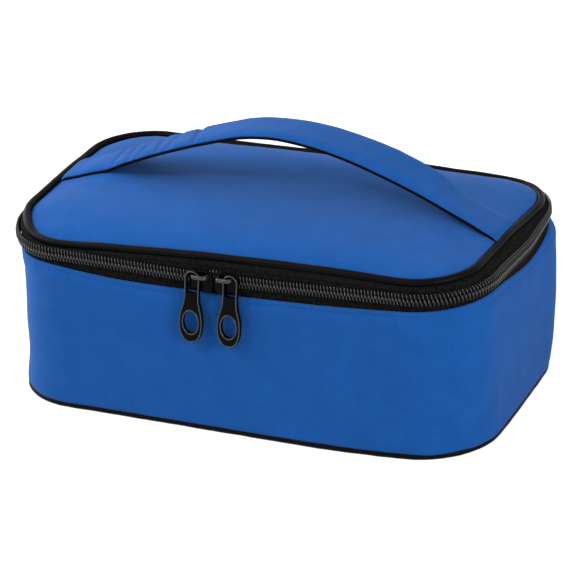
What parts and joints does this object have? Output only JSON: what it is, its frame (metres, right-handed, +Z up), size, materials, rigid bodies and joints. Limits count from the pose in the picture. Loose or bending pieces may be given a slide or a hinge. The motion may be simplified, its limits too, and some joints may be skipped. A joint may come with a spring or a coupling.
{
  "type": "zip-lid cooler bag",
  "caption": "Soft insulated carry bag: a padded rounded box with piped seams, a zip lid hinged along the back and a padded arch handle over the lid.",
  "frame": {"origin": "centre of the base panel's underside, on the surface the bag stands on", "axes": "+X along the front to the right seen from the front, -Y out of the front where the zip sliders meet, +Z up"},
  "size_m": [0.2602, 0.1515, 0.1362],
  "materials": {
    "cloth_blue": "matte",
    "cloth_black": "matte",
    "piping_black": "satin",
    "coil_black": "satin",
    "casting_black": "gloss",
    "foam_grey": "matte",
    "liner_silver": "satin"
  },
  "bodies": {
    "bag_body": {"base_panel": "cloth_blue", "base_board": "foam_grey", "base_piping": "piping_black", "wall_front_sides": "cloth_blue", "wall_back": "cloth_blue", "foam_front_sides": "foam_grey", "foam_back": "foam_grey", "liner_tub": "liner_silver", "rim_binding": "cloth_black", "zip_tape_lower": "cloth_black", "zip_coil_lower": "coil_black", "zip_stop_left": "casting_black", "zip_stop_right": "casting_black", "hinge_strip": "cloth_black"},
    "lid": {"zip_tape_upper": "cloth_black", "zip_coil_upper": "coil_black", "lid_back_band": "cloth_black", "lid_panel": "cloth_blue", "lid_foam": "foam_grey", "lid_liner": "liner_silver", "lid_piping": "piping_black", "lid_rim_binding": "cloth_black", "handle_end_left": "cloth_blue", "handle_end_right": "cloth_blue", "handle_end_backing_left": "cloth_black", "handle_end_backing_right": "cloth_black"},
    "handle": {"handle_cover": "cloth_blue", "handle_padding": "foam_grey", "handle_backing": "cloth_black"},
    "slider_left": {"slider_left": "casting_black"},
    "slider_right": {"slider_right": "casting_black"},
    "pull_left": {"pull_left": "casting_black"},
    "pull_right": {"pull_right": "casting_black"}
  },
  "joints": [
    {"name": "lid_hinge", "type": "hinge", "parent": "bag_body", "child": "lid", "pos_m": [0, 0.0734, 0.0862], "axis": [-1, 0, 0], "range_deg": [0, 180]},
    {"name": "handle_lean", "type": "hinge", "parent": "lid", "child": "handle", "pos_m": [0, 0.0041, 0.11172], "axis": [0.9993, -0.0337, 0.0149], "range_deg": [-30, 30], "stiffness_Nm_per_rad": 0.02},
    {"name": "slider_left_slide", "type": "slide", "parent": "bag_body", "child": "slider_left", "axis": [-0.9996, 0, 0.0283], "range_m": [0, 0.073]},
    {"name": "slider_right_slide", "type": "slide", "parent": "bag_body", "child": "slider_right", "axis": [0.9997, 0, 0.0256], "range_m": [0, 0.083]},
    {"name": "pull_left_swing", "type": "hinge", "parent": "slider_left", "child": "pull_left", "pos_m": [-0.01503, -0.0749, 0.08659], "axis": [0, 1, 0], "range_deg": [-6, 80]},
    {"name": "pull_right_swing", "type": "hinge", "parent": "slider_right", "child": "pull_right", "pos_m": [0.00543, -0.0749, 0.08656], "axis": [0, -1, 0], "range_deg": [-6, 80]}
  ]
}
